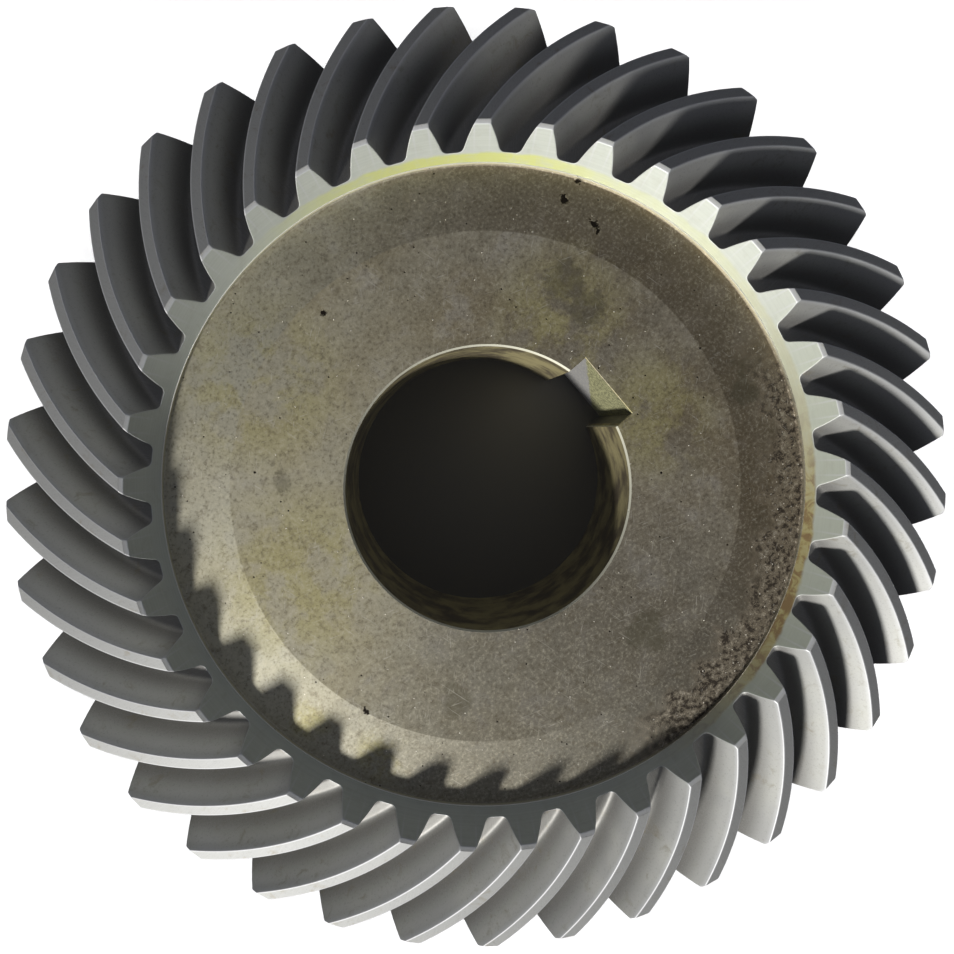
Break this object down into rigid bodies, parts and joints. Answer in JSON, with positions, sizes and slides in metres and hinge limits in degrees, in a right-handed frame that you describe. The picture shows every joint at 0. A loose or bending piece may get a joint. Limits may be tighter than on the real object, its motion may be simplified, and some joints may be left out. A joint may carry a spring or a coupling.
{
  "type": "spiral bevel gear",
  "caption": "Large spiral bevel gear: a ring of curved teeth on a cone, bolted to a thick keyed hub.",
  "frame": {"origin": "centre of the hub's back face, on the gear's axis", "axes": "+Z along the gear's axis towards the toes of the teeth, +X through the middle of the keyway"},
  "size_m": [0.3781, 0.3782, 0.0913],
  "materials": {
    "tooth_steel": "machined and ground, satin, light oil film",
    "hub_steel": "turned, dull olive-brown oil stain, scratches and pits",
    "screw_steel": "black oxide",
    "washer_steel": "hardened, plain",
    "dowel_steel": "ground"
  },
  "bodies": {
    "root": {"toothed_ring": "tooth_steel", "hub": "hub_steel", "ring_screw_01": "screw_steel", "ring_screw_02": "screw_steel", "ring_screw_03": "screw_steel", "ring_screw_04": "screw_steel", "ring_screw_05": "screw_steel", "ring_screw_06": "screw_steel", "ring_screw_07": "screw_steel", "ring_screw_08": "screw_steel", "ring_screw_09": "screw_steel", "ring_screw_10": "screw_steel", "ring_screw_11": "screw_steel", "ring_screw_12": "screw_steel", "ring_washer_01": "washer_steel", "ring_washer_02": "washer_steel", "ring_washer_03": "washer_steel", "ring_washer_04": "washer_steel", "ring_washer_05": "washer_steel", "ring_washer_06": "washer_steel", "ring_washer_07": "washer_steel", "ring_washer_08": "washer_steel", "ring_washer_09": "washer_steel", "ring_washer_10": "washer_steel", "ring_washer_11": "washer_steel", "ring_washer_12": "washer_steel", "ring_dowel_01": "dowel_steel", "ring_dowel_02": "dowel_steel", "ring_dowel_03": "dowel_steel"}
  },
  "joints": []
}
